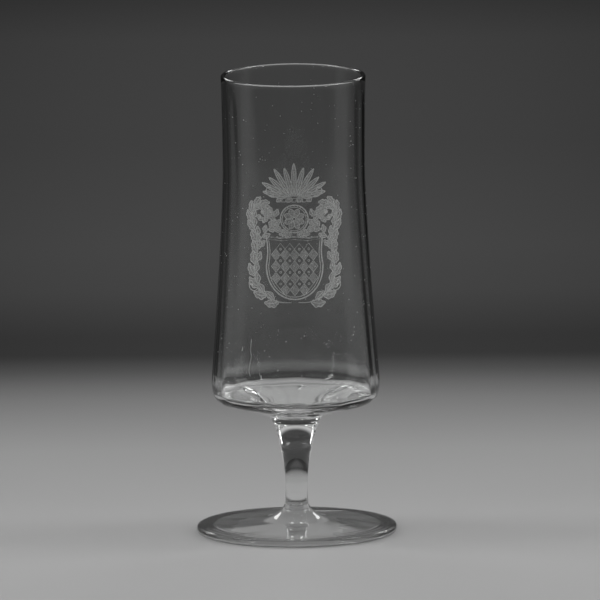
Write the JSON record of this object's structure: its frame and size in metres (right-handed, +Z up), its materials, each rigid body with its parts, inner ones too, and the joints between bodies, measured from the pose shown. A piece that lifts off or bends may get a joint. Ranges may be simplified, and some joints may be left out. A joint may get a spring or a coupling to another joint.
{
  "type": "footed shot glass",
  "caption": "Clear shot glass with a tall waisted bowl on a short solid stem and a thin round foot, engraved on the front.",
  "frame": {"origin": "on the axis of the glass, at the height of the surface that it stands on", "axes": "+Z up along the axis, from the foot to the rim; -Y points out of the engraved front of the bowl"},
  "size_m": [0.05, 0.05, 0.1154],
  "materials": {
    "clear_glass": "clear, fire-polished",
    "engraved_glass": "matt engraved surface"
  },
  "bodies": {
    "root": {"bowl": "clear_glass", "stem": "clear_glass", "foot": "clear_glass"}
  },
  "joints": []
}
